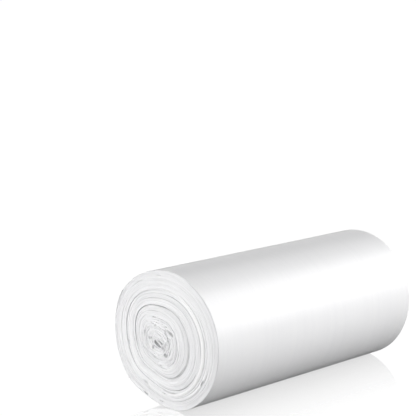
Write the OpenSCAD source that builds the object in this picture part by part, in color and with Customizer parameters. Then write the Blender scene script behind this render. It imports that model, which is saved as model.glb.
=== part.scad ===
// Bin bag roll: one endless strip of bags, folded lengthways and wound on itself without a core.
// The roll lies on its side on a small flat spot. +X is its axis, +Z is up, and the origin
// is on the ground below its middle. The winding has slid out of the -X end, as loose rolls do,
// and because the strip has one width the +X end is hollow by as much.

/* [Strip] */
// Width of the folded strip, which is the roll's length from rim to rim
strip_w = 225; // [110:1:320]
// Height of the step where the strip begins in the channel, and where it ends outside
end_step = 0.5; // [0.3:0.1:1.5]
// Place of the loose end at the back, in degrees above the level of the axis
tail_angle = 35; // [0:5:70]
// Stretch of the last turn that lifts towards the loose end, in degrees
tail_lift_arc = 60; // [30:5:80]

/* [Roll] */
// Outer diameter, where the roll is still round
roll_d = 103; // [80:1:160]
// Turns that can be told apart in the section
turns = 11; // [6:1:12]
// Diameter of the channel that the winding spindle left in the middle
channel_d = 6; // [3:0.5:12]
// Width of the flat spot that the roll lies on
flat_w = 22; // [12:1:40]
// Radius of the sagged arcs on either side of the flat spot
sag_arc_r = 26; // [15:1:36]
// How much wider than high the section has sagged, in percent
sag_spread = 1; // [0:0.5:3]

/* [Squeezed turns] */
// How far the turns between the middle and the outside are squeezed oval, in percent
out_of_round = 15; // [0:1:20]
// Direction in which the oval is long, in degrees above the level of the axis at the back
oval_angle = 30; // [0:5:90]
// How far the blunt corners of these turns stand out of the oval
corner_h = 1.4; // [0:0.1:2.5]
// How far the middle has been pushed off the axis, at most
push_off = 1.7; // [0:0.1:3]
// Direction in which it has been pushed, in degrees above the level of the axis at the back
push_angle = 50; // [0:5:90]

/* [Ends] */
// How far the middle of the winding has slid along the axis
slide_out = 9; // [0:1:18]
// Diameter of the core that has come away from the turns round it
core_d = 54; // [30:1:70]
// How much further the core has slid than the turns round it
core_step = 1.2; // [0:0.1:3]
// Depth of the gap round the core where it opens at the ends
core_gap_depth = 4.5; // [1:0.5:8]
// Depth of the other gaps between turns where they open at the ends
gap_depth = 1.6; // [0.5:0.1:4]
// Width of the gaps between turns
gap_w = 1.6; // [0.6:0.1:2.4]
// How far the strip's edge wanders from one turn to the next
edge_wander = 0.8; // [0:0.1:2]
// Diameter at which one turn of the edge rises into a ridge at the near end
ridge_d = 82; // [30:1:90]
// How far the ridge stands out
ridge_h = 1.2; // [0:0.1:2]
// Depth of the rounding at the rims of both ends
rim_round = 0.9; // [0.4:0.1:2]
// Depth of the dimple round the channel's mouths
mouth_depth = 4; // [1:0.5:8]

/* [Hidden] */

film_white = [0.95, 0.95, 0.96];

// Steps in one turn and in the whole winding, counted outwards from the channel
steps = 72;
wound = turns * steps;

// The roll is set into the ground by this much and trimmed there, which leaves a true flat
press = 0.1;

roll_r = roll_d / 2;
channel_r = channel_d / 2;
core_r = core_d / 2;
pitch = (roll_r - channel_r - end_step) / (turns - 1);

// The section is a circle that sags onto the flat spot through a smaller arc on either side.
// The arcs' centres are arc_y to the sides, and the circle's centre is axis_h above the flat.
spread = 1 + sag_spread / 100;
arc_y = flat_w / 2 / spread - sqrt(press * (2 * sag_arc_r - press));
axis_h = sag_arc_r + sqrt(pow(roll_r - sag_arc_r, 2) - arc_y * arc_y);
flat_to = atan2(arc_y, axis_h);
arc_to = atan2(arc_y, axis_h - sag_arc_r);

// Two waves along the strip, in degrees for each turn, make the winding uneven
slow_wave = 133;
fast_wave = 472;

// Angle from straight down, 0 to 180, of a direction in the section
function from_down(a) = acos(cos(a + 90));

// Distance from the roll's centre to the sagged arc, at an angle from straight down
function to_arc(b) =
    let (
        centre = [arc_y, axis_h - sag_arc_r],
        along = centre * [sin(b), cos(b)]
    )
    along + sqrt(along * along - centre * centre + sag_arc_r * sag_arc_r);

// Distance from the roll's centre to its outline in the direction a
function outline_r(a) =
    let (b = from_down(a))
    b <= flat_to ? axis_h / cos(b)
        : b < arc_to ? to_arc(b)
        : roll_r;

// Three waves round the roll that add up to its blunt corners, 1 high at most
function corners(a) =
    0.34 * cos(3 * (a - 15)) + 0.4 * cos(4 * (a + 41)) + 0.26 * cos(5 * (a + 33));

// A point of the winding that would be r from the centre of a round roll, in the direction a.
// The sag dies out inwards. The oval and the corners are strongest halfway out, and the push
// is strongest a third of the way out.
function at(x, r, a) =
    let (
        out = min(r / roll_r, 1),
        sagged = (outline_r(a) - roll_r) * pow(out, 3),
        oval = r * out_of_round / 100 * (1 - out) * cos(2 * (a - oval_angle)),
        corner = corner_h * pow(4 * out * (1 - out), 2) * corners(a),
        pushed = push_off * 27 / 4 * out * pow(1 - out, 2) * cos(a - push_angle),
        reach = r + sagged + oval + corner + pushed
    )
    [x, spread * reach * cos(a), axis_h - press + reach * sin(a)];

// Direction of a step, and how uneven the winding is there, from -1 to 1
function direction(m) = tail_angle + 360 * m / steps;
function uneven(m) =
    0.6 * sin(slow_wave * m / steps + 25) + 0.4 * sin(fast_wave * m / steps + 80);

// Share of the last turn that is wound at a step, and of its lift towards the loose end
function last_turn(m) = max(0, min(1, (m - wound + steps) / steps));
function tail_lift(m) = pow(max(0, 1 - (wound + steps - m) / steps * 360 / tail_lift_arc), 2);

// Radius of the seam that is under the strip at a step, and on top of it a turn later.
// It opens the channel by one step, grows evenly, and runs round the outside for one turn.
function seam_r(m) =
    m < steps ? channel_r + end_step * m / steps
        : m < wound ? channel_r + end_step + pitch * (m - steps) / steps
        : roll_r + end_step * tail_lift(m);

// How far the strip's edge has slid along the axis at a radius
function core_share(r) = max(0, min(1, (core_r - r) / pitch + 0.5));
function slid(r) = -slide_out * (1 - min(r / roll_r, 1)) - core_step * core_share(r);

// How far the strip's edge stands out of the near end at a step. It wanders, one turn of it
// rises into a ridge and sinks again, and both end in the last turn, which is wound evenly.
function ridge(m) =
    let (off = (seam_r(m) + seam_r(m + steps) - ridge_d) / 2)
    ridge_h * pow(max(0, 1 - pow(off / pitch, 2)), 2);
function stand_out(m) = (edge_wander * uneven(max(m, 0)) + ridge(m)) * (1 - last_turn(m));

// How far a seam stands out, which is halfway between its two turns
function seam_stand_out(m) = (stand_out(m) + stand_out(m - steps)) / 2;

// Depth of a seam below the edges of its two turns
function core_gap(r) = pow(max(0, 1 - pow((r - core_r) / pitch, 2)), 2);
function seam_depth(m) =
    let (
        gap = gap_depth * (1 + 0.4 * uneven(2 * m)),
        core = (core_gap_depth - gap_depth) * core_gap(seam_r(m)),
        mouth = mouth_depth * max(0, 1 - m / steps)
    )
    (gap + core + mouth) * (1 - last_turn(m)) + rim_round * last_turn(m);

// Radius and place along the axis of the strip's edge, at the two sides of its thickness
function edge_r(m, outer) =
    let (
        low = seam_r(m),
        high = seam_r(m + steps),
        inset = min(gap_w / 2, (high - low) * 0.3)
    )
    outer ? high - inset : low + inset;
function edge_x(m, outer) = slid(edge_r(m, outer)) - stand_out(m);

// Middle of the roll along the axis, so that the origin is below it
reaches = [for (m = [0 : wound], outer = [false, true]) edge_x(m, outer)];
middle = (min(reaches) + max(reaches)) / 2;

// A point of a seam at the end that side names, which is -1 or 1
function seam_point(side, m) =
    let (
        r = seam_r(m),
        x = side * (strip_w / 2 - seam_depth(m)) + slid(r) - seam_stand_out(m)
    )
    at(x - middle, r, direction(m));

// A point of the strip's edge between the seams of one turn
function edge_point(side, m, outer) =
    at(side * strip_w / 2 + edge_x(m, outer) - middle, edge_r(m, outer), direction(m));

// The points of one end: the seams from the channel to the loose end, then the strip's edge
function end_points(side) = [
    for (m = [0 : wound + steps]) seam_point(side, m),
    for (m = [0 : wound], outer = [false, true]) edge_point(side, m, outer)
];
seams = wound + steps + 1;
far = seams + 2 * (wound + 1);

// Number of the point in column 0 to 3, from the seam below the strip to the seam on top
function col(m, c) = c == 0 ? m : c == 3 ? m + steps : seams + 2 * m + c - 1;

function quad(a, b, c, d) = [[a, b, c], [a, c, d]];

// The same faces at the far end look the other way
function at_far_end(faces) = [for (f = faces) [f[2], f[1], f[0]] + [far, far, far]];

// The strip's edge at the near end, over all turns
edge_faces = [
    for (m = [0 : wound - 1], c = [0 : 2])
        each quad(col(m, c), col(m, c + 1), col(m + 1, c + 1), col(m + 1, c))
];

// The wall of the channel, and the outside of the last turn
channel_wall = [for (m = [0 : steps - 1]) each quad(m + 1, far + m + 1, far + m, m)];
outside = [for (m = [wound : wound + steps - 1]) each quad(m, far + m, far + m + 1, m + 1)];

// The steps at the strip's two ends
function step_faces(m) = [
    for (c = [0 : 2]) each quad(col(m, c), far + col(m, c), far + col(m, c + 1), col(m, c + 1))
];
start_step = step_faces(0);
tail_step = [for (f = step_faces(wound)) [f[2], f[1], f[0]]];

// Trims what is below the ground
module above_ground() {
    room = roll_d + strip_w + slide_out;
    difference() {
        children();
        translate([-room, -room, -room]) cube([2 * room, 2 * room, room]);
    }
}

// The whole roll: all its turns are one strip, so it is one solid
module bag_roll() {
    color(film_white)
        above_ground()
            polyhedron(
                points = concat(end_points(-1), end_points(1)),
                faces = concat(
                    edge_faces, at_far_end(edge_faces),
                    channel_wall, outside, start_step, tail_step
                ),
                convexity = 20
            );
}

bag_roll();
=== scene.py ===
# %% [markdown]
# # A roll of bin bags
# A bin bag roll is one long strip of very thin white film. The strip is folded lengthways,
# sealed and perforated between the bags, and wound on a spindle that is pulled out again, so
# the roll has no core tube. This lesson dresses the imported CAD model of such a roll. The CAD
# solid gives the size, the place and the form. Here the roll gets the film edges that show at
# its ends, the crumpled middle, the thin outer wrap and the look of glossy white film.

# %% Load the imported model
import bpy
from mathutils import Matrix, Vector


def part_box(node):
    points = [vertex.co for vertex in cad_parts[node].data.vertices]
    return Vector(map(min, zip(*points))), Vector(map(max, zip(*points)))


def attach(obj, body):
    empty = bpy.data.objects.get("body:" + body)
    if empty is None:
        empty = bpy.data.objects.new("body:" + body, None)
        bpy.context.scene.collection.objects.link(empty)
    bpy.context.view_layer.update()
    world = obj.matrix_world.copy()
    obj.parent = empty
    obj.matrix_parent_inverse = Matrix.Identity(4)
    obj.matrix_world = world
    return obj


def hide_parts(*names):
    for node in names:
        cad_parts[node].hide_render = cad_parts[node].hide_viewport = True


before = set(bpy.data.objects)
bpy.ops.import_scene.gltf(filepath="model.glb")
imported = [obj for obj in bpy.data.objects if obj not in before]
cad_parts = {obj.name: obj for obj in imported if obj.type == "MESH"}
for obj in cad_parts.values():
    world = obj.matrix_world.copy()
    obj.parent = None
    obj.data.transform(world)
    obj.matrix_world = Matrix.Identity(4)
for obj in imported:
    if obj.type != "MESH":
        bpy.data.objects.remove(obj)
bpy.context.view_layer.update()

# %% [markdown]
# ## Tools and units
# A spiral with a groove for each turn isn't among Blender's own shapes, and it would be slow
# to model by hand. NumPy works out its points instead, and Blender makes meshes from them.
# Blender counts in metres, so sizes are written in millimetres and multiplied by `mm`.

# %% Tools
import math

import bpy
import numpy as np
from mathutils import Matrix, Vector

mm = 0.001
print("Blender", bpy.app.version_string)

# %% [markdown]
# ## The roll's own sizes
# The lesson works in the frame of the CAD model: +X runs along the roll, +Z is up, and the
# near end, at -X, is the one that the winding has slid out of. The places of the rims could
# be typed in as numbers. Here they follow from the CAD model's box and the strip's one width,
# so the dressed roll keeps to the solid.

# %% Sizes of the roll
strip_width = 225 * mm
roll_radius = 51.5 * mm
_, high_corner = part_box("bag_roll")
far_rim = high_corner.x
near_rim = far_rim - strip_width
print("rims at", round(near_rim, 4), "and", round(far_rim, 4))

# %% [markdown]
# ## The section
# A soft roll sags onto the table. Its section is a circle that runs through a smaller arc on
# either side into a flat spot. It could be drawn as a curve, but the winding needs the
# outline's distance in any direction, and a function gives that at once. The arc's centre and
# the circle's height follow from the width of the flat spot, as in the CAD model.

# %% Section of the roll
flat_width = 22 * mm
sag_arc = 26 * mm
# how much wider than high the section has sagged
spread = 1.01
# how far the roll is set into the ground, where it is trimmed flat
press = 0.1 * mm
arc_side = flat_width / 2 / spread - math.sqrt(press * (2 * sag_arc - press))
axis_height = sag_arc + math.sqrt((roll_radius - sag_arc) ** 2 - arc_side**2)
flat_until = math.atan2(arc_side, axis_height)
arc_until = math.atan2(arc_side, axis_height - sag_arc)


def outline_radius(angle):
    """Distance from the roll's middle to its outline. Angle 0 is at the back, and up is 90."""
    from_down = np.arccos(np.clip(np.cos(angle + math.pi / 2), -1, 1))
    centre_up = axis_height - sag_arc
    along = arc_side * np.sin(from_down) + centre_up * np.cos(from_down)
    inside = along**2 - arc_side**2 - centre_up**2 + sag_arc**2
    arc = along + np.sqrt(np.maximum(inside, 0))
    flat = axis_height / np.cos(np.minimum(from_down, arc_until))
    radius = np.where(from_down < arc_until, arc, roll_radius)
    return np.where(from_down <= flat_until, flat, radius)


print("axis height", round(axis_height / mm, 2), "mm")

# %% [markdown]
# ## Squeezed turns
# The inner turns aren't round. They were squeezed on the way from the factory, so they are a
# little oval with a few blunt corners and a flatter side at the back, and their middle is
# pushed up and back. A lattice modifier could bend a round roll like that. A function is used
# here, because it keeps each effect as a measure of its own. All of them die out towards the
# middle and the outside.

# %% Squeezed turns
# the oval and the push of the middle: size as a share of the roll's radius, and direction
oval_share = 0.15
oval_angle = math.radians(30)
push_share = 0.22
push_angle = math.radians(50)
# blunt corners: waves round the roll, size as a share, and the angle of a crest in degrees
corner_waves = [(3, 0.009, 15), (4, 0.011, -41), (5, 0.007, -33)]
# the flatter side: size as a share, middle and half width in degrees
flat_side = (0.045, 0, 95)


def ease(t):
    """A smooth step from 0 to 1."""
    t = np.clip(t, 0, 1)
    return t * t * (3 - 2 * t)


def hump(angle, middle, half_width):
    """1 at an angle, and less on either side of it, down to 0. Middle and width in degrees."""
    off = angle - math.radians(middle)
    off = np.arctan2(np.sin(off), np.cos(off)) / math.radians(half_width)
    return np.cos(np.clip(off, -1, 1) * math.pi / 2) ** 2


def reach_of(radius, angle):
    """How far a layer of a round roll really is from the middle."""
    share = np.clip(radius / roll_radius, 0, 1)
    halfway = (4 * share * (1 - share)) ** 2
    change = oval_share * share * (1 - share) * np.cos(2 * (angle - oval_angle))
    change = change + push_share * share * (1 - share) ** 2 * np.cos(angle - push_angle)
    for waves, size, crest in corner_waves:
        change = change + size * np.cos(waves * (angle - math.radians(crest))) * halfway
    flattened, middle, half_width = flat_side
    change = change - flattened * hump(angle, middle, half_width) * halfway
    sagged = (outline_radius(angle) - roll_radius) * share**3
    return radius + sagged + roll_radius * change


print("a turn of 25 mm reaches", round(reach_of(25 * mm, 0) / mm, 1), "mm to the back")

# %% [markdown]
# ## The knocked rim
# The near end has also been knocked: below at the back its rim has a shallow dent, and above
# the dent it bulges a little. Both could be sculpted, but then the turns and the wrap would
# have to be kept apart by hand. They are a part of `place` instead, which gives every layer
# its point on the real roll. The bulge dies out evenly along the roll, because the turns below
# the wrap are straight from end to end.

# %% From radius and angle to a point
# the dent and the bulge: how far they go, middle and half width in degrees
dent_shape = (3.2 * mm, -68, 30)
bulge_shape = (1.8 * mm, 30, 54)
# from the rim the dent is even for a stretch, and then it fades
dent_even = 8 * mm
dent_fade = 45 * mm


def pressed_in(x, radius, angle):
    """How far the layers are pressed in at the near end. Below 0 they bulge."""
    depth, middle, half_width = dent_shape
    dented = depth * hump(angle, middle, half_width)
    dented = dented * (1 - ease((x - near_rim - dent_even) / dent_fade))
    height, middle, half_width = bulge_shape
    bulged = height * hump(angle, middle, half_width) * (far_rim - x) / strip_width
    return (dented - bulged) * np.clip(radius / roll_radius, 0, 1) ** 3


def place(x, radius, angle):
    """Points of the real roll, one row each, from radius and angle on a round one."""
    reach = reach_of(radius, angle) - pressed_in(x, radius, angle)
    side = spread * reach * np.cos(angle)
    up = axis_height - press + reach * np.sin(angle)
    return np.stack([x, side, np.maximum(up, 0)], axis=-1)


print("top of the roll at", round(place(0, roll_radius, math.pi / 2)[2] / mm, 1), "mm")

# %% [markdown]
# ## Seeded noise
# Film is never even, so nearly every measure below is varied a little. Blender has noise
# textures, but the mesh is worked out with NumPy, and a random lattice with smooth steps
# between its points is a few lines long and gives the same result in each run.

# %% Smooth noise
bumps_in_line = 1024
bumps_in_square = 64


def wavy(values, cell, seed):
    """Smooth noise from -1 to 1 over one coordinate, with one bump in each cell."""
    heights = np.random.default_rng(seed).uniform(-1, 1, bumps_in_line)
    position = np.asarray(values) / cell
    start = np.floor(position).astype(int)
    blend = ease(position - start)
    before = heights[start % bumps_in_line]
    after = heights[(start + 1) % bumps_in_line]
    return before * (1 - blend) + after * blend


def lumpy(first, second, cell, seed):
    """Smooth noise from -1 to 1 over two coordinates."""
    count = bumps_in_square
    heights = np.random.default_rng(seed).uniform(-1, 1, (count, count))
    across = np.asarray(first) / cell
    along = np.asarray(second) / cell
    row = np.floor(across).astype(int)
    column = np.floor(along).astype(int)
    blend_across = ease(across - row)
    blend_along = ease(along - column)
    total = 0
    for step_across in (0, 1):
        for step_along in (0, 1):
            corner = heights[(row + step_across) % count, (column + step_along) % count]
            weight_across = blend_across if step_across else 1 - blend_across
            weight_along = blend_along if step_along else 1 - blend_along
            total = total + corner * weight_across * weight_along
    return total


print("noise at three places:", np.round(wavy([0.1, 0.5, 0.9], 0.2, seed=1), 3))

# %% [markdown]
# ## The winding
# Single turns of this film are far thinner than anything that shows. What shows at the ends
# are packs of a few turns each, with a seam between one pack and the next. They could be
# lines in a texture, but real grooves shade themselves and hold in every view. So the winding
# is modelled as a spiral strip as thick as such a pack, and each seam of the spiral is a
# groove in the mesh. Positions along the strip are counted in turns, from the channel out.

# %% The spiral
channel_radius = 3 * mm
tail_angle = math.radians(35)
turns = 72
# steps of the mesh in one turn
steps = 288
wrap_room = 0.2 * mm
start_step = 0.25 * mm
body_radius = roll_radius - wrap_room
pack = (body_radius - channel_radius - start_step) / (turns - 1)
# the dark ring round the core, as a share of the roll's radius
ring_share = 0.522


def seam_radius(turn):
    """Radius of the seam under the strip at a position. The seam on top is one turn later."""
    first = channel_radius + start_step * turn
    middle = channel_radius + start_step + pack * (turn - 1)
    return np.where(turn < 1, first, np.where(turn < turns, middle, body_radius))


def strip_length(turn):
    """Length of the strip up to a position."""
    return math.pi * turn * (channel_radius + seam_radius(turn))


def angle_at(turn):
    """Angle of a position along the strip."""
    return tail_angle + 2 * math.pi * turn


def nearest_turn(share, degrees):
    """The position at that angle whose seam is nearest to a share of the roll's radius."""
    part = (math.radians(degrees) - tail_angle) / (2 * math.pi)
    wanted = 1 + (share * roll_radius - channel_radius - start_step) / pack
    return round(wanted - part) + part


print("packs of", round(pack / mm, 2), "mm, the ring at turn", round(nearest_turn(ring_share, 0)))

# %% [markdown]
# ## Bundles of packs
# The strip's edge wanders in and out as the machine winds it, and now and then a bundle of
# packs slides a little as one. A wider gap opens where two bundles part. In the loose middle
# every pack stands out by its own amount, which changes every few millimetres, and at the top
# and front the outer turns are wound tight. Setting each pack by hand would take a long
# table, so seeded noise sets them, and a few shares say where it is strong.

# %% Bundles that slide together
dice = np.random.default_rng(11)
bundle_ends = np.cumsum(dice.uniform(1.6, 6.5, 22))
bundle_slides = dice.uniform(-0.32, 0.32, 23) * mm
# how many turns it takes to change from one bundle to the next
bundle_blend = 0.25
# shares of the radius: wholly loose inside the first, and wholly tight outside the second
loose_inside = 0.2
tight_outside = 0.5
# the outer turns are least even in this direction, and most even opposite it
uneven_angle = math.radians(-30)


def loose_share(radius):
    """1 in the loose middle, and 0 where the turns are tight."""
    return ease((tight_outside - radius / roll_radius) / (tight_outside - loose_inside))


def even_share(turn):
    """1 in the outer turns where they are wound evenly, at the top and front, and 0 elsewhere."""
    outer = ease((seam_radius(turn) / roll_radius - 0.76) / 0.08)
    return outer * ease(0.7 - 0.7 * np.cos(angle_at(turn) - uneven_angle))


def edge_offset(turn):
    """How far the strip's edge stands out beyond the even cone."""
    offset = np.full(np.shape(turn), bundle_slides[0])
    for end, before, after in zip(bundle_ends, bundle_slides[:-1], bundle_slides[1:]):
        offset = offset + (after - before) * ease((turn - end) / bundle_blend)
    offset = offset * (1 - 0.75 * even_share(turn))
    # the edge wanders from turn to turn and along each turn, and it is bent in the loose middle
    offset = offset + 0.12 * mm * wavy(turn, 0.8, seed=2)
    length = strip_length(turn)
    own = 0.13 * wavy(length, 17 * mm, seed=3) + 0.04 * wavy(length, 6 * mm, seed=7)
    folded = 0.5 * wavy(length, 5 * mm, seed=8) + 0.22 * wavy(length, 1.8 * mm, seed=9)
    return offset + (own + folded * loose_share(seam_radius(turn))) * mm


def bundle_gap(turn):
    """1 in the seams between two bundles, and 0 in the others."""
    gap = np.zeros(np.shape(turn))
    for end in bundle_ends:
        gap = np.maximum(gap, ease((turn - end) / 0.15) * ease((end + 1 - turn) / 0.15))
    return gap


print(len(bundle_ends), "bundles, the widest", round(np.diff(bundle_ends).max(), 1), "turns")

# %% [markdown]
# ## Gaps and ridges that stand out
# A roll is known by the marks that noise alone doesn't give: here the dark ring round the
# core, a bright ridge three quarters of the way out, and shorter lines beside it. Each is a
# row of a small table, because the tables are easy to change beside the photograph. A row
# gives the radius as a share of the roll's, where the mark starts, how far it runs, and its
# size. It runs along the strip, so it follows the squeezed turns by itself. At the back the
# core's outer turns have sunk a little, which lets the ring beside them show.

# %% Tables of gaps and ridges
# radius share, start in degrees, sweep in degrees, depth and half width in millimetres
gaps = [
    (ring_share, -20, 135, 3.6, 0.25),
    (ring_share, -92, 32, 1.2, 0.22),
    (0.490, -38, 50, 1.2, 0.2),
    (ring_share, 118, 22, 2.0, 0.28),
    (0.520, 205, 75, 1.1, 0.24),
    (0.690, 82, 120, 1.3, 0.26),
    (0.700, 200, 85, 1.8, 0.28),
    (0.735, 235, 50, 1.3, 0.26),
    (0.850, -50, 85, 0.7, 0.22),
    (0.800, 120, 150, 0.8, 0.22),
    (0.862, 190, 120, 0.8, 0.22),
    (0.984, 105, 110, 1.8, 0.3),
    (0.930, 80, 18, 1.2, 0.24),
    (0.895, 70, 14, 1.0, 0.24),
    (0.905, 0, 70, 0.9, 0.22),
    (0.940, -80, 60, 1.0, 0.24),
    (0.440, 10, 90, 0.8, 0.26),
]
# radius share, start in degrees, sweep in degrees, thickness in turns, height in millimetres;
# a turn with a height below 0 has sunk
ridges = [
    (0.480, -75, 165, 3.0, -1.0),
    (ring_share, 70, 45, 0.6, -3.0),
    (0.740, 90, 190, 3.0, 1.2),
    (0.728, -60, 100, 1.6, 0.2),
    (0.380, 140, 130, 1.0, 0.6),
    (0.640, -70, 120, 1.7, 0.5),
    (0.835, -50, 100, 1.2, 0.4),
]
print(len(gaps), "gaps and", len(ridges), "ridges")

# %% [markdown]
# A groove for a seam needs a depth and a width at each position along the strip. Every seam
# has a little of both, and there is more between two bundles and in the loose middle. Where a
# row of the table runs, the greater depth counts, so that marks which cross don't add up to a
# hole.

# %% Depth of the seams and height of the ridges
def window(turn, start, sweep, blend=0.06):
    """1 from start on for a sweep, in turns, with smooth ends."""
    return ease((turn - start) / blend) * ease((start + sweep - turn) / blend)


def seam_depth_and_width(turn):
    """Depth of each seam below the strip's edge, and half its width."""
    # what every seam has
    depth = (0.2 + 0.15 * wavy(turn, 0.23, seed=4)) * mm
    half = np.full(np.shape(turn), 0.2 * pack)
    # the seams between bundles, which are least open where the turns are even or loose
    loose = loose_share(seam_radius(turn))
    opened = bundle_gap(turn) * (0.5 + 0.5 * wavy(turn, 0.3, seed=5))
    opened = opened * (1 - 0.8 * even_share(turn)) * (1 - 0.7 * loose)
    depth = depth + 0.5 * mm * opened
    half = half + 0.1 * mm * opened
    # the loose middle
    depth = depth + 0.15 * mm * loose * (1 + wavy(strip_length(turn), 3 * mm, seed=10))
    # the rows of the table
    for share, start, sweep, deep, wide in gaps:
        here = window(turn, nearest_turn(share, start), sweep / 360)
        uneven = 1 + 0.3 * wavy(turn, 0.05, seed=6)
        depth = np.maximum(depth, deep * mm * here * uneven)
        half = np.maximum(half, wide * mm * here)
    # the dimple at the channel's mouth
    mouth = 1.2 * mm * ease(1 - turn)
    return depth + mouth, np.minimum(half, 0.45 * pack)


def ridge_height(turn):
    """How far the ridges stand out, at a position along the strip."""
    height = np.zeros(np.shape(turn))
    for share, start, sweep, thick, high in ridges:
        first = nearest_turn(share, start)
        for lap in range(math.ceil(thick)):
            part = min(1, thick - lap)
            here = window(turn, first + lap, sweep / 360, blend=0.12)
            height = height + high * mm * here * part
    return height


seam_turns = np.arange((turns + 1) * steps + 1) / steps
seam_deep, seam_half = seam_depth_and_width(seam_turns)
print("deepest seam", round(seam_deep.max() / mm, 1), "mm")

# %% [markdown]
# ## Pits
# Where folds of film leave a hole between them, the end has a small dark pit. Each could be
# cut with a boolean, but a cut through so many thin grooves leaves a ragged mesh. Here a pit
# is a well pressed into the surface that is there already. Most lie in the middle, and the
# ones further out lie along their turns.

# %% Table of pits
# place from the roll's axis, half sizes and depth in millimetres, and the turn in degrees
pits = [
    (-2.4, 1.6, 1.6, 0.6, 4.0, 40),
    (4.8, -4.0, 1.3, 0.6, 3.6, 62),
    (7.6, 2.9, 1.4, 0.7, 3.5, 0),
    (-9.6, 10.2, 1.6, 0.5, 2.4, 30),
    (-12.4, 8.6, 2.3, 0.65, 5.0, 37),
    (-7.6, -8.1, 1.1, 0.8, 6.0, 20),
    (-9.6, 3.6, 0.9, 0.5, 1.6, -70),
    (-8.9, 0.6, 0.7, 1.0, 1.2, 0),
    (6.2, 13.7, 1.8, 0.4, 1.4, 10),
    (3.5, 12.6, 1.4, 0.4, 1.2, -15),
    (5.1, 18.5, 2.0, 0.4, 1.2, 5),
    (-7.1, 12.5, 1.6, 0.4, 1.4, -10),
    (-0.7, -16.6, 2.0, 0.4, 1.6, 0),
    (3.3, -11.3, 2.2, 0.5, 1.2, 0),
    (-37.1, -24.3, 2.2, 0.6, 3.2, -62),
    (19.5, -33.6, 2.2, 0.8, 3.4, 30),
    (21.0, -43.0, 1.8, 0.7, 4.0, 28),
    (5.0, -45.3, 2.4, 0.6, 2.4, 8),
    (0.5, -38.5, 2.0, 0.5, 1.8, 3),
    (6.7, 47.6, 2.4, 0.55, 1.6, -8),
    (35.5, -6.3, 1.8, 0.5, 2.4, 80),
]


def pit_depth(side, up):
    """Depth of the pits at a place on the near end, in metres."""
    well = np.zeros(len(side))
    for pit_side, pit_up, half_long, half_wide, deep, turned in pits:
        angle = math.radians(turned)
        across = side / mm - pit_side
        above = up / mm - pit_up
        long_way = (across * math.cos(angle) + above * math.sin(angle)) / half_long
        wide_way = (above * math.cos(angle) - across * math.sin(angle)) / half_wide
        distance = np.sqrt(long_way**2 + wide_way**2)
        well = np.maximum(well, deep * (1 - ease((distance - 0.6) / 0.7)))
    return well * mm


print(len(pits), "pits")

# %% [markdown]
# ## The crumpled middle
# Inside the tight outer turns the winding is loose, and its film edges are bent over each
# other. Cloth simulation could crumple them, but it would take long with so many turns, and
# nobody could say where the folds go. Noise that moves the points sideways and along the axis
# gives the crumple, and it fades out towards the ring round the core. The channel's mouth has
# been pinched as well, to a slanted slit.

# %% Crumple
# the channel's mouth at the near end is squeezed across this direction, and shifted sideways
mouth_angle = math.radians(40)
mouth_squeeze = 0.22
mouth_shift = -1.8 * mm
mouth_reach = 7 * mm


def crumple(points, radius, end_sign):
    """Moves points of one end. The sign is -1 at the near end and 1 at the far end."""
    side = points[:, 1]
    up = points[:, 2] - axis_height + press
    seed = 20 if end_sign < 0 else 40
    loose = loose_share(radius) * mm
    # broad and fine folds, in millimetres at most
    fold_side = 0.3 * lumpy(side, up, 5.5 * mm, seed) + 0.35 * lumpy(side, up, 2.3 * mm, seed + 1)
    fold_up = 0.3 * lumpy(side, up, 5.5 * mm, seed + 2) + 0.35 * lumpy(side, up, 2.3 * mm, seed + 3)
    stand_out = 0.15 * lumpy(side, up, 6 * mm, seed + 4) + 0.3 * lumpy(side, up, 2.2 * mm, seed + 5)
    moved = points + np.stack([end_sign * stand_out, fold_side, fold_up], axis=-1) * loose[:, None]
    if end_sign < 0:
        moved[:, 0] += pit_depth(side, up)
        near_mouth = 1 - ease((radius - channel_radius) / mouth_reach)
        width = up * math.cos(mouth_angle) - side * math.sin(mouth_angle)
        squeezed = mouth_squeeze * width * near_mouth
        moved[:, 1] += squeezed * math.sin(mouth_angle) + mouth_shift * near_mouth
        moved[:, 2] -= squeezed * math.cos(mouth_angle)
    return moved


print("the mouth is squeezed by", round(100 * mouth_squeeze), "percent")

# %% [markdown]
# ## Points of the two ends
# The winding has slid out of the near end, so its edges lie on a low cone, and the core has
# come a little further. A cone primitive could give the base, but not the turns. So each
# position along the strip gets its own slide: the cone's, its bundle's and its ridge's. The
# strip has one width, so what stands out at the near end lies as much deeper at the far end.

# %% Slides along the strip
slide_out = 9 * mm
core_radius = 27 * mm
core_step = 1.2 * mm
# the last turns are wound evenly, and the rims of the outermost one are rounded
even_turns = 1.5
rim_rounding = 0.2 * mm


def cone(radius):
    """How far the winding has slid out at a radius."""
    share = np.clip(radius / roll_radius, 0, 1)
    in_core = ease((core_radius - radius) / (5 * pack) + 0.5)
    return slide_out * (1 - share) + core_step * in_core


def slide_at(turn):
    """How far the strip's edge stands out from the cone."""
    turn = np.maximum(turn, 0)
    return (edge_offset(turn) + ridge_height(turn)) * ease((turns - turn) / even_turns)


outside_share = ease(seam_turns - turns + 1)
seam_deep = seam_deep * (1 - outside_share) + rim_rounding * outside_share
print("the middle has slid out by", round(cone(channel_radius) / mm, 1), "mm")

# %% [markdown]
# One turn of the strip has four columns of points: the seam below it and three points over
# its edge, which is a little crowned. The column after the last one is the seam of the next
# turn, so neighbouring turns share it and the surface is closed. Every point also gets a
# number for the material: how deep it lies in a gap, or how high on a ridge.

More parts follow.
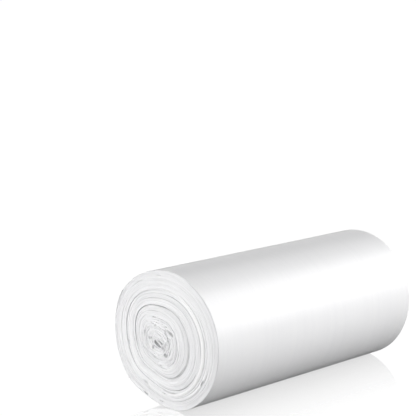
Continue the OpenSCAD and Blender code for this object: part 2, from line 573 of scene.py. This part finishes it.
# %% Points of one end
crown = 0.05 * mm
edge_turns = np.arange(turns * steps + 1) / steps
seam_place = seam_radius(seam_turns)
seam_slide = (slide_at(seam_turns) + slide_at(seam_turns - 1)) / 2
low_seam = seam_radius(edge_turns)
high_seam = seam_radius(edge_turns + 1)
most_inset = 0.4 * (high_seam - low_seam)
inner_edge = low_seam + np.minimum(seam_half[: len(edge_turns)], most_inset)
outer_edge = high_seam - np.minimum(seam_half[steps:], most_inset)
edge_slide = slide_at(edge_turns)
columns = [
    (seam_turns, seam_place, seam_slide, seam_deep),
    (edge_turns, inner_edge, edge_slide, 0),
    (edge_turns, (low_seam + high_seam) / 2, edge_slide, -crown),
    (edge_turns, outer_edge, edge_slide, 0),
]


def end_points(end_sign):
    """All points of one end, column after column. The sign is -1 at the near end."""
    rim = near_rim if end_sign < 0 else far_rim
    found = []
    for turn, radius, slide, depth in columns:
        x = rim - cone(radius) - slide - end_sign * depth
        found.append(crumple(place(x, radius, angle_at(turn)), radius, end_sign))
    return np.concatenate(found)


near_points = end_points(-1)
far_points = end_points(1)
layer_of_point = np.concatenate([radius for _, radius, _, _ in columns])
length_of_point = np.concatenate([strip_length(turn) for turn, _, _, _ in columns])
ridge_lift = np.maximum(ridge_height(edge_turns), 0)
seam_lift = (ridge_height(seam_turns) + ridge_height(seam_turns - 1)) / 2
seam_lift = np.maximum(seam_lift, 0) - seam_deep
lift_of_point = np.concatenate([seam_lift] + 3 * [ridge_lift])
print(len(near_points), "points at each end")

# %% [markdown]
# ## From points to closed solids
# The winding is cut along the strip into two solids, the core inside the dark ring and the
# turns round it. Each is the strip from one position to another: its edge at both ends, the
# seam surface under its first turn, the one over its last turn, and the two cut faces. A
# Screw modifier could wind a strip too, but it leaves neighbouring turns unjoined, and the
# grooves need every point numbered anyway.

# %% Faces of a stretch of the strip
seam_count = len(seam_turns)
edge_count = len(edge_turns)


def point_number(position, column):
    """Number of the point at a step of the strip, in column 0 to 4 from seam to seam."""
    if column == 0:
        return position
    if column == 4:
        return position + steps
    return seam_count + (column - 1) * edge_count + position


def strip_faces(first, last):
    """Faces of the closed solid from step first to step last of the strip."""
    far = len(near_points)
    i = np.arange(first, last)
    faces = []
    for column in range(4):
        a = point_number(i, column)
        b = point_number(i, column + 1)
        c = point_number(i + 1, column + 1)
        d = point_number(i + 1, column)
        faces.append(np.stack([a, b, c, d], axis=1))
        faces.append(np.stack([d, c, b, a], axis=1) + far)
    inner = np.arange(first, first + steps)
    faces.append(np.stack([inner + 1, inner + 1 + far, inner + far, inner], axis=1))
    outer = np.arange(last, last + steps)
    faces.append(np.stack([outer, outer + far, outer + 1 + far, outer + 1], axis=1))
    for step, turned in ((first, False), (last, True)):
        for column in range(4):
            a = point_number(step, column)
            b = point_number(step, column + 1)
            face = [a, a + far, b + far, b]
            faces.append(np.array([face[::-1] if turned else face]))
    return np.concatenate(faces)


print("one turn has", 8 * steps, "faces at its two edges")

# %% [markdown]
# A mesh takes its points and faces from the lists above. Each point also keeps numbers of its
# own, as mesh attributes, and the materials read them: its layer's radius, its place along
# the strip, and its lift, which is below 0 in a gap and above 0 on a ridge. Texture
# coordinates could carry two of them, but attributes have names and take any number.

# %% The core and the turns round it
def mesh_object(name, points, faces, numbers):
    """A mesh object from points and faces, with named numbers kept at its points."""
    used, renumbered = np.unique(faces, return_inverse=True)
    mesh = bpy.data.meshes.new(name)
    mesh.from_pydata(points[used].tolist(), [], renumbered.reshape(faces.shape).tolist())
    for key, values in numbers.items():
        mesh.attributes.new(key, "FLOAT", "POINT").data.foreach_set("value", values[used])
    mesh.shade_smooth()
    piece = bpy.data.objects.new(name, mesh)
    bpy.context.scene.collection.objects.link(piece)
    print(name, "has", len(mesh.polygons), "faces")
    return piece


winding_points = np.concatenate([near_points, far_points])
winding_numbers = {
    "layer": np.tile(layer_of_point, 2),
    "along": np.tile(length_of_point, 2),
    "lift": np.tile(lift_of_point, 2),
}
# the cut between the two solids starts in the ring at this angle, low at the back
cut_degrees = 300
core_end = round(nearest_turn(ring_share, cut_degrees) * steps)
core_faces = strip_faces(0, core_end)
outer_faces = strip_faces(core_end, turns * steps)
core = mesh_object("bag_core", winding_points, core_faces, winding_numbers)
outer_turns = mesh_object("bag_turns", winding_points, outer_faces, winding_numbers)
core.data.set_sharp_from_angle(angle=math.radians(50))
outer_turns.data.set_sharp_from_angle(angle=math.radians(50))

# %% [markdown]
# ## Thin sheets
# The outer wrap and the fold in the channel are single pieces of film. A Solidify modifier
# could thicken a surface, but here a sheet's inner side has to follow what it lies on. So a
# sheet is given as two grids of points, one for each side, and closed along its four borders.
# Corners over 40 degrees stay sharp, so the film's thin edge doesn't smear the shading.

# %% Closing a sheet
def grid_faces(rows, columns, start):
    """Quads of a grid of points that is numbered row by row."""
    row, column = np.meshgrid(np.arange(rows), np.arange(columns), indexing="ij")
    a = (start + row * (columns + 1) + column).ravel()
    return np.stack([a, a + 1, a + columns + 2, a + columns + 1], axis=1)


def sheet_object(name, outside, inside, along, across):
    """A closed sheet from the grids of points of its two sides."""
    rows, columns = outside.shape[0] - 1, outside.shape[1] - 1
    count = (rows + 1) * (columns + 1)
    number = np.arange(count).reshape(rows + 1, columns + 1)
    border = np.concatenate([number[0, :-1], number[:-1, -1], number[-1, :0:-1], number[:0:-1, 0]])
    beside = np.roll(border, -1)
    faces = [
        grid_faces(rows, columns, 0)[:, ::-1],
        grid_faces(rows, columns, count),
        np.stack([border, beside, beside + count, border + count], axis=1),
    ]
    points = np.concatenate([outside.reshape(-1, 3), inside.reshape(-1, 3)])
    numbers = {"along": np.tile(along.ravel(), 2), "across": np.tile(across.ravel(), 2)}
    piece = mesh_object(name, points, np.concatenate(faces), numbers)
    piece.data.set_sharp_from_angle(angle=math.radians(40))
    return piece


print("a grid of 2 by 3 has", len(grid_faces(2, 3, 0)), "faces")

# %% [markdown]
# ## The outer wrap
# The last turn is one folded thickness of film. It goes once round the roll and a little
# further, over its own beginning, and ends at the back in a torn perforation, with the weld
# of the bag's bottom just before it. Cloth simulation could wrap it, but the film clings to
# the turns below, so a formula that follows them and lets the edges wander is enough.

# %% Measures of the wrap
wrap_thickness = 0.1 * mm
# room between the wrap and what it lies on
wrap_gap = 0.03 * mm
wrap_lap = math.radians(24)
lap_ramp = 7 * mm
wrap_around = 300
wrap_across = 150
wrap_wander = 0.15 * mm
# the loose end lifts over this length, and by this much
tail_length = 30 * mm
tail_lift = 0.6 * mm
tooth_depth = 0.45 * mm
weld_from_tail = 10 * mm
weld_height = 0.07 * mm
weld_half = 1.1 * mm
wrap_sweep = 2 * math.pi + wrap_lap
wrap_share = np.linspace(0, 1, wrap_around + 1)[:, None]
across_share = np.linspace(0, 1, wrap_across + 1)[None, :]
from_tail = wrap_sweep * roll_radius * (1 - wrap_share) + 0 * across_share
from_side = across_share * strip_width + 0 * from_tail
teeth = tooth_depth * (np.arange(wrap_across + 1) % 2)[None, :] * (wrap_share == 1)
print("the wrap is", round(from_tail.max() / mm), "mm long")

# %% [markdown]
# The surface is built from the inside out: the body of the roll, the lap over the wrap's own
# beginning, the lift of the loose end, the ridge of the weld, and a wander that is too slight
# to see but breaks up the highlight. The two borders flare out a little.

# %% The wrap
def wrap_surface(height):
    """Points of the wrap, at a height over its inner side."""
    angle = tail_angle - (from_tail + teeth) / roll_radius
    lapped = ease(1 + (wrap_lap * roll_radius - from_tail) / lap_ramp)
    radius = body_radius + wrap_gap + height + (wrap_thickness + wrap_gap) * lapped
    lifted = np.clip(1 - from_tail / tail_length, 0, 1) ** 2
    flutter = 0.55 + 0.45 * wavy(across_share * strip_width, 38 * mm, seed=64)
    radius = radius + tail_lift * lifted * flutter
    radius = radius + weld_height * np.exp(-(((from_tail - weld_from_tail) / weld_half) ** 2))
    radius = radius + 0.035 * mm * lumpy(from_tail, from_side, 26 * mm, seed=60)
    from_edge = np.minimum(from_side, strip_width - from_side)
    flare = 0.5 + 0.5 * wavy(from_tail, 9 * mm, seed=61)
    radius = radius + 0.06 * mm * flare * np.exp(-from_edge / (1.2 * mm))
    near_edge = near_rim + wrap_wander * wavy(from_tail, 14 * mm, seed=62)
    far_edge = far_rim + wrap_wander * wavy(from_tail, 16 * mm, seed=63)
    return place(near_edge + (far_edge - near_edge) * across_share, radius, angle)


wrap = sheet_object(
    "outer_wrap", wrap_surface(wrap_thickness), wrap_surface(0), from_tail, from_side
)

# %% [markdown]
# ## A fold of film in the channel
# The strip's inner end is folded over where the spindle let go of it, and a bright flake of
# it crosses the channel's mouth. It could be pulled out of the winding's own mesh, but a
# piece of its own can bend more tightly. It is a band that comes out of the channel, turns
# over and goes back in, with both ends tucked into the crumpled turns beside it.

# %% The fold in the channel
fold_long = 7 * mm
fold_half = 0.75 * mm
fold_deep = 14 * mm
fold_thickness = 0.16 * mm
fold_rows = 30
fold_columns = 24
# middle of the band from the roll's axis, to the back and up, and how far in from the cone's tip
fold_middle = (-1.9 * mm, 0.3 * mm)
fold_sunk = 0.6 * mm
fold_sway = 0.5 * mm


def fold_surface(inset):
    """Points of the band, at an inset from its outer side."""
    bend = fold_half - inset
    turn_share = np.linspace(-1, 1, fold_rows + 1)[:, None]
    over = np.clip(turn_share * 2, -1, 1) * math.pi / 2
    straight = (np.abs(turn_share) - 0.5).clip(0) * 2 * fold_deep
    along = np.linspace(-0.5, 0.5, fold_columns + 1)[None, :] * fold_long
    across = bend * np.sin(over) + fold_sway * wavy(along, 3 * mm, seed=71)
    front = near_rim - slide_out + fold_sunk + fold_sway * wavy(along, 2.4 * mm, seed=72)
    x = front - bend * np.cos(over) + straight
    side = fold_middle[0] + along * math.cos(mouth_angle) - across * math.sin(mouth_angle)
    up = fold_middle[1] + along * math.sin(mouth_angle) + across * math.cos(mouth_angle)
    return np.stack([x, side, axis_height - press + up], axis=-1)


fold_outside = fold_surface(0)
fold_inside = fold_surface(fold_thickness)
channel_fold = sheet_object(
    "channel_fold", fold_outside, fold_inside, fold_outside[:, :, 1], fold_outside[:, :, 0]
)

# %% [markdown]
# ## The look of the film
# Bin bag film is blown in one direction, which leaves fine streaks and bands along the strip.
# Round the roll they show as faint bands in the gloss. At the ends they show as lines from
# pack to pack, because each pack of turns has its own tone. A stretched noise gives both. It
# could be built twice, but as one node group it has one place to change.
#
# The group adds a broad and a fine noise at a place that each material stretches in its own
# way. It puts out a tone, spread over 0 to 1 for colour and roughness, and the plain sum as a
# relief for the bump. A Wave texture would be too regular for film. Two helpers keep the
# building of nodes short.

# %% The group of streaks
def link(tree, source, target):
    """Joins an output to an input."""
    tree.links.new(source, target)


def add_node(tree, kind, **values):
    """A new node, with values for its sockets by name, or for its own settings."""
    made = tree.nodes.new(kind)
    for key, value in values.items():
        if key in made.inputs:
            made.inputs[key].default_value = value
        else:
            setattr(made, key, value)
    return made


def make_streaks():
    """Noise at a place, as a tone from 0 to 1 and as a relief."""
    group = bpy.data.node_groups.new("film_streaks", "ShaderNodeTree")
    group.interface.new_socket("Place", in_out="INPUT", socket_type="NodeSocketVector")
    group.interface.new_socket("Tone", in_out="OUTPUT", socket_type="NodeSocketFloat")
    group.interface.new_socket("Relief", in_out="OUTPUT", socket_type="NodeSocketFloat")
    entry = add_node(group, "NodeGroupInput")
    leave = add_node(group, "NodeGroupOutput")
    broad = add_node(group, "ShaderNodeTexNoise", Scale=1, Detail=2, Roughness=0.5)
    fine = add_node(group, "ShaderNodeTexNoise", Scale=3.1, Detail=3, Roughness=0.6)
    both = add_node(group, "ShaderNodeMath", operation="ADD")
    spread_tone = add_node(group, "ShaderNodeMapRange")
    spread_tone.inputs["From Min"].default_value = 0.7
    spread_tone.inputs["From Max"].default_value = 1.3
    link(group, entry.outputs["Place"], broad.inputs["Vector"])
    link(group, entry.outputs["Place"], fine.inputs["Vector"])
    link(group, broad.outputs["Fac"], both.inputs[0])
    link(group, fine.outputs["Fac"], both.inputs[1])
    link(group, both.outputs[0], spread_tone.inputs["Value"])
    link(group, spread_tone.outputs["Result"], leave.inputs["Tone"])
    link(group, both.outputs[0], leave.inputs["Relief"])
    return group


streaks = make_streaks()
print("group", streaks.name, "has", [item.name for item in streaks.interface.items_tree])

# %% [markdown]
# The film is the same everywhere, but what shows of it isn't. At the ends its cut edges are
# rough and each pack has its own tone. On the wall its glossy side shows, with streaks so
# faint that only the highlight tells of them. One material with a mask could hold both. Two
# from one recipe are easier to read, and each piece needs only one of them.

# %% The two materials of the film
def film_material(name, across_name, along_name, stretch, tones, roughness, relief):
    """White film with streaks. Stretch is in bumps to the metre, across and along them."""
    material = bpy.data.materials.new(name)
    material.use_nodes = True
    tree = material.node_tree
    shader = tree.nodes["Principled BSDF"]
    shader.inputs["IOR"].default_value = 1.5
    across = add_node(tree, "ShaderNodeAttribute", attribute_name=across_name)
    along = add_node(tree, "ShaderNodeAttribute", attribute_name=along_name)
    pair = add_node(tree, "ShaderNodeCombineXYZ")
    scaled = add_node(tree, "ShaderNodeVectorMath", operation="MULTIPLY")
    scaled.inputs[1].default_value = (*stretch, 1)
    group = add_node(tree, "ShaderNodeGroup", node_tree=streaks)
    colour = add_node(tree, "ShaderNodeMix", data_type="RGBA")
    colour.inputs["A"].default_value = (*tones[0], 1)
    colour.inputs["B"].default_value = (*tones[1], 1)
    sheen = add_node(tree, "ShaderNodeMapRange")
    sheen.inputs["To Min"].default_value = roughness[0]
    sheen.inputs["To Max"].default_value = roughness[1]
    bump = add_node(tree, "ShaderNodeBump", Strength=1.0, Distance=relief)
    link(tree, across.outputs["Fac"], pair.inputs["X"])
    link(tree, along.outputs["Fac"], pair.inputs["Y"])
    link(tree, pair.outputs[0], scaled.inputs[0])
    link(tree, scaled.outputs[0], group.inputs["Place"])
    link(tree, group.outputs["Tone"], colour.inputs["Factor"])
    link(tree, colour.outputs["Result"], shader.inputs["Base Color"])
    link(tree, group.outputs["Tone"], sheen.inputs["Value"])
    link(tree, sheen.outputs["Result"], shader.inputs["Roughness"])
    link(tree, group.outputs["Relief"], bump.inputs["Height"])
    link(tree, bump.outputs["Normal"], shader.inputs["Normal"])
    return material


edge_film = film_material(
    "film_edges", "layer", "along", stretch=(1100, 45),
    tones=((0.83, 0.83, 0.84), (0.95, 0.95, 0.955)), roughness=(0.62, 0.45), relief=0.12 * mm,
)
wall_film = film_material(
    "film_wall", "across", "along", stretch=(150, 4),
    tones=((0.9, 0.9, 0.91), (0.925, 0.925, 0.93)), roughness=(0.37, 0.31), relief=0.012 * mm,
)
print("materials:", edge_film.name, "and", wall_film.name)

# %% [markdown]
# Light that falls between two packs meets film many times on its way out, so the gaps are
# grey. A standing edge is the reverse: light shines through it from behind, so it looks
# whiter than the rest. Subsurface scattering could work this out, but slowly and with noise.
# The material for the edges tints both by the lift of each point instead.

# %% Grey gaps and white ridges
# a gap this deep is wholly grey, and a ridge this high is wholly white
grey_depth = 1.3 * mm
white_height = 0.9 * mm
tree = edge_film.node_tree
edge_shader = tree.nodes["Principled BSDF"]
streaked = edge_shader.inputs["Base Color"].links[0].from_socket
lift = add_node(tree, "ShaderNodeAttribute", attribute_name="lift")
gap_share = add_node(tree, "ShaderNodeMapRange")
gap_share.inputs["From Max"].default_value = -grey_depth
ridge_share = add_node(tree, "ShaderNodeMapRange")
ridge_share.inputs["From Max"].default_value = white_height
greyed = add_node(tree, "ShaderNodeMix", data_type="RGBA")
greyed.inputs["B"].default_value = (0.37, 0.37, 0.39, 1)
whitened = add_node(tree, "ShaderNodeMix", data_type="RGBA")
whitened.inputs["B"].default_value = (0.97, 0.97, 0.97, 1)
link(tree, lift.outputs["Fac"], gap_share.inputs["Value"])
link(tree, lift.outputs["Fac"], ridge_share.inputs["Value"])
link(tree, streaked, greyed.inputs["A"])
link(tree, gap_share.outputs["Result"], greyed.inputs["Factor"])
link(tree, greyed.outputs["Result"], whitened.inputs["A"])
link(tree, ridge_share.outputs["Result"], whitened.inputs["Factor"])
link(tree, whitened.outputs["Result"], edge_shader.inputs["Base Color"])
for piece in (core, outer_turns):
    piece.data.materials.append(edge_film)
for piece in (wrap, channel_fold):
    piece.data.materials.append(wall_film)
print("the edges are tinted by", lift.attribute_name)

# %% [markdown]
# ## Belonging to the CAD model
# The roll has no moving part, so all pieces ride on the one body of the CAD model. They could
# be joined into one mesh, but apart they are easier to change. Together they stand for the
# plain CAD solid.

# %% Bodies and the hidden CAD solid
film_pieces = (core, outer_turns, wrap, channel_fold)
for piece in film_pieces:
    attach(piece, "root")
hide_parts("bag_roll")
print(len(film_pieces), "pieces ride on the roll")

# %% [markdown]
# ## A polished white floor
# The photograph shows a clean white ground that mirrors the roll's lower part. A plain white
# floor under enough light would do for the white, but that light would bleach the roll. So
# the floor glows white for the camera, with a share of plain shading that keeps the roll's
# shadow and a share of polish. Other rays meet a plain grey floor, so that its glow doesn't
# light the object.

# %% The floor's material
floor_tone = (0.28, 0.28, 0.28, 1)
glow_strength = 1.14
shading_share = 0.12
floor_material = bpy.data.materials.new("white_floor")
floor_material.use_nodes = True
tree = floor_material.node_tree
plain = tree.nodes["Principled BSDF"]
plain.inputs["Base Color"].default_value = floor_tone
plain.inputs["Roughness"].default_value = 0.6
glow = add_node(tree, "ShaderNodeEmission", Strength=glow_strength)
mirror = add_node(tree, "ShaderNodeBsdfGlossy", Color=(1, 1, 1, 1), Roughness=0.03)
shaded = add_node(tree, "ShaderNodeMixShader")
shaded.inputs["Fac"].default_value = shading_share
polished = add_node(tree, "ShaderNodeMixShader")
seen = add_node(tree, "ShaderNodeMixShader")
path = add_node(tree, "ShaderNodeLightPath")
link(tree, glow.outputs[0], shaded.inputs[1])
link(tree, plain.outputs[0], shaded.inputs[2])
link(tree, shaded.outputs[0], polished.inputs[1])
link(tree, mirror.outputs[0], polished.inputs[2])
link(tree, path.outputs["Is Camera Ray"], seen.inputs["Fac"])
link(tree, plain.outputs[0], seen.inputs[1])
link(tree, polished.outputs[0], seen.inputs[2])
link(tree, seen.outputs[0], tree.nodes["Material Output"].inputs["Surface"])
print("the floor's material has", len(tree.nodes), "nodes")

# %% [markdown]
# The mirror image fades within a few centimetres. A gradient in a picture could do that, but
# it would have to be placed by eye. The share of polish falls off with the distance from the
# flat spot that the roll lies on, which the nodes work out from the point's own place.

# %% The polish that fades away from the roll
polish_near = 0.33
polish_far = 0.03
polish_reach = 90 * mm
spot = add_node(tree, "ShaderNodeNewGeometry")
beside = add_node(tree, "ShaderNodeVectorMath", operation="ABSOLUTE")
past = add_node(tree, "ShaderNodeVectorMath", operation="SUBTRACT")
past.inputs[1].default_value = (strip_width / 2, flat_width / 2, 0)
only_past = add_node(tree, "ShaderNodeVectorMath", operation="MAXIMUM")
away = add_node(tree, "ShaderNodeVectorMath", operation="LENGTH")
polish = add_node(tree, "ShaderNodeMapRange")
polish.inputs["From Max"].default_value = polish_reach
polish.inputs["To Min"].default_value = polish_near
polish.inputs["To Max"].default_value = polish_far
link(tree, spot.outputs["Position"], beside.inputs[0])
link(tree, beside.outputs[0], past.inputs[0])
link(tree, past.outputs[0], only_past.inputs[0])
link(tree, only_past.outputs[0], away.inputs[0])
link(tree, away.outputs["Value"], polish.inputs["Value"])
link(tree, polish.outputs["Result"], polished.inputs["Fac"])
print("the polish fades over", round(polish_reach / mm), "mm")

# %% [markdown]
# A curved backdrop would hide the horizon in a real studio. Here one large square is enough,
# because the world behind it is as white as the floor.

# %% The floor
floor_half = 20
floor_mesh = bpy.data.meshes.new("floor")
corners = [(-floor_half, -floor_half, 0), (floor_half, -floor_half, 0)]
corners += [(floor_half, floor_half, 0), (-floor_half, floor_half, 0)]
floor_mesh.from_pydata(corners, [], [(0, 1, 2, 3)])
floor_mesh.materials.append(floor_material)
floor = bpy.data.objects.new("floor", floor_mesh)
bpy.context.scene.collection.objects.link(floor)
print("the floor is", 2 * floor_half, "m wide")

# %% [markdown]
# ## The room round the roll
# The room is dim grey, so that the lamps shape the roll. The camera sees it white, and so do
# mirror rays that leave low over the floor. Mirror rays that go higher see the grey, because
# a white ceiling would wash out the dark upper side of the roll. Walls could do the same, but
# the world has no corners to hide.

# %% The world
room_strength = 0.095
# mirror rays see white below the first height of their direction, and grey above the second
white_below = 0.3
grey_above = 0.38
world = bpy.data.worlds.new("studio")
bpy.context.scene.world = world
world.use_nodes = True
tree = world.node_tree
sky = tree.nodes["Background"]
sky.inputs["Color"].default_value = (1, 1, 1, 1)
path = add_node(tree, "ShaderNodeLightPath")
direction = add_node(tree, "ShaderNodeTexCoord")
parts = add_node(tree, "ShaderNodeSeparateXYZ")
low = add_node(tree, "ShaderNodeMapRange")
low.inputs["From Min"].default_value = white_below
low.inputs["From Max"].default_value = grey_above
low.inputs["To Min"].default_value = 1
low.inputs["To Max"].default_value = 0
mirrored_white = add_node(tree, "ShaderNodeMath", operation="MULTIPLY")
seen_white = add_node(tree, "ShaderNodeMath", operation="MAXIMUM")
strength = add_node(tree, "ShaderNodeMapRange")
strength.inputs["To Min"].default_value = room_strength
strength.inputs["To Max"].default_value = 1
link(tree, direction.outputs["Generated"], parts.inputs[0])
link(tree, parts.outputs["Z"], low.inputs["Value"])
link(tree, path.outputs["Is Glossy Ray"], mirrored_white.inputs[0])
link(tree, low.outputs["Result"], mirrored_white.inputs[1])
link(tree, path.outputs["Is Camera Ray"], seen_white.inputs[0])
link(tree, mirrored_white.outputs[0], seen_white.inputs[1])
link(tree, seen_white.outputs[0], strength.inputs["Value"])
link(tree, strength.outputs["Result"], sky.inputs["Strength"])
print("world strength from", room_strength, "to 1")

# %% [markdown]
# ## Lamps
# The broad highlight on the upper side is the mirror image of a large soft lamp, high up on
# the right. A second one in front, lower and narrower, evens out the roll's side. A third
# faces the near end from a little above and draws its rings, and a fourth lights the back,
# of which the camera sees only the topmost edge. A picture of a studio could light the roll
# all at once, but single lamps can be moved one by one until each surface has its tone.

# %% Soft lamps
def soft_lamp(name, towards, distance, size, watts):
    """A rectangular lamp that looks at the middle of the roll."""
    data = bpy.data.lights.new(name, "AREA")
    data.shape = "RECTANGLE"
    data.size = size[0]
    data.size_y = size[1]
    data.energy = watts
    lamp = bpy.data.objects.new(name, data)
    target = Vector(((near_rim + far_rim) / 2, 0, axis_height))
    lamp.location = target + Vector(towards).normalized() * distance
    lamp.rotation_euler = (target - lamp.location).to_track_quat("-Z", "Y").to_euler()
    bpy.context.scene.collection.objects.link(lamp)
    print(name, "gives", watts, "W")


soft_lamp("shine_lamp", towards=(0.726, -0.43, 0.46), distance=2.4, size=(1.6, 1.8), watts=29)
soft_lamp("side_lamp", towards=(0.22, -0.87, 0.41), distance=1.5, size=(0.9, 0.3), watts=12.8)
soft_lamp("end_lamp", towards=(-0.95, 0.05, 0.18), distance=1.2, size=(0.7, 0.5), watts=10.6)
soft_lamp("back_lamp", towards=(0.05, 0.97, 0.12), distance=1.6, size=(0.8, 0.3), watts=9)

# %% [markdown]
# ## The camera
# The camera's direction and lens were fitted to the outlines of both rims in the photograph.
# It could be placed by eye, but the tall narrow ellipse of the near rim and the taper of the
# wall fix it much better. It looks down a little, from a little more than a metre away.

# %% Camera
image_pixels = 416
# focal length in pixels of the photograph, and the direction of the view
focal_pixels = 1511
yaw = math.radians(46.91)
tilt = math.radians(9.37)
# how far the roll's middle is to the right of the picture's middle, below it, and away
right_of_view = 0.905 * roll_radius
below_view = 1.596 * roll_radius
camera_distance = 22.66 * roll_radius
camera_data = bpy.data.cameras.new("camera")
camera_data.sensor_width = 36
camera_data.lens = focal_pixels / image_pixels * camera_data.sensor_width
camera = bpy.data.objects.new("camera", camera_data)
forward = Vector((math.sin(yaw) * math.cos(tilt), math.cos(yaw) * math.cos(tilt), -math.sin(tilt)))
right = Vector((math.cos(yaw), -math.sin(yaw), 0))
above = right.cross(forward)
roll_middle = Vector(((near_rim + far_rim) / 2, 0, axis_height - press))
back_off = above * below_view - right * right_of_view - forward * camera_distance
turned = Matrix((right, above, -forward)).transposed()
camera.matrix_world = Matrix.Translation(roll_middle + back_off) @ turned.to_4x4()
bpy.context.scene.collection.objects.link(camera)
bpy.context.scene.camera = camera
bpy.context.scene.view_settings.view_transform = "Standard"
print("camera at", [round(value, 3) for value in camera.matrix_world.translation])
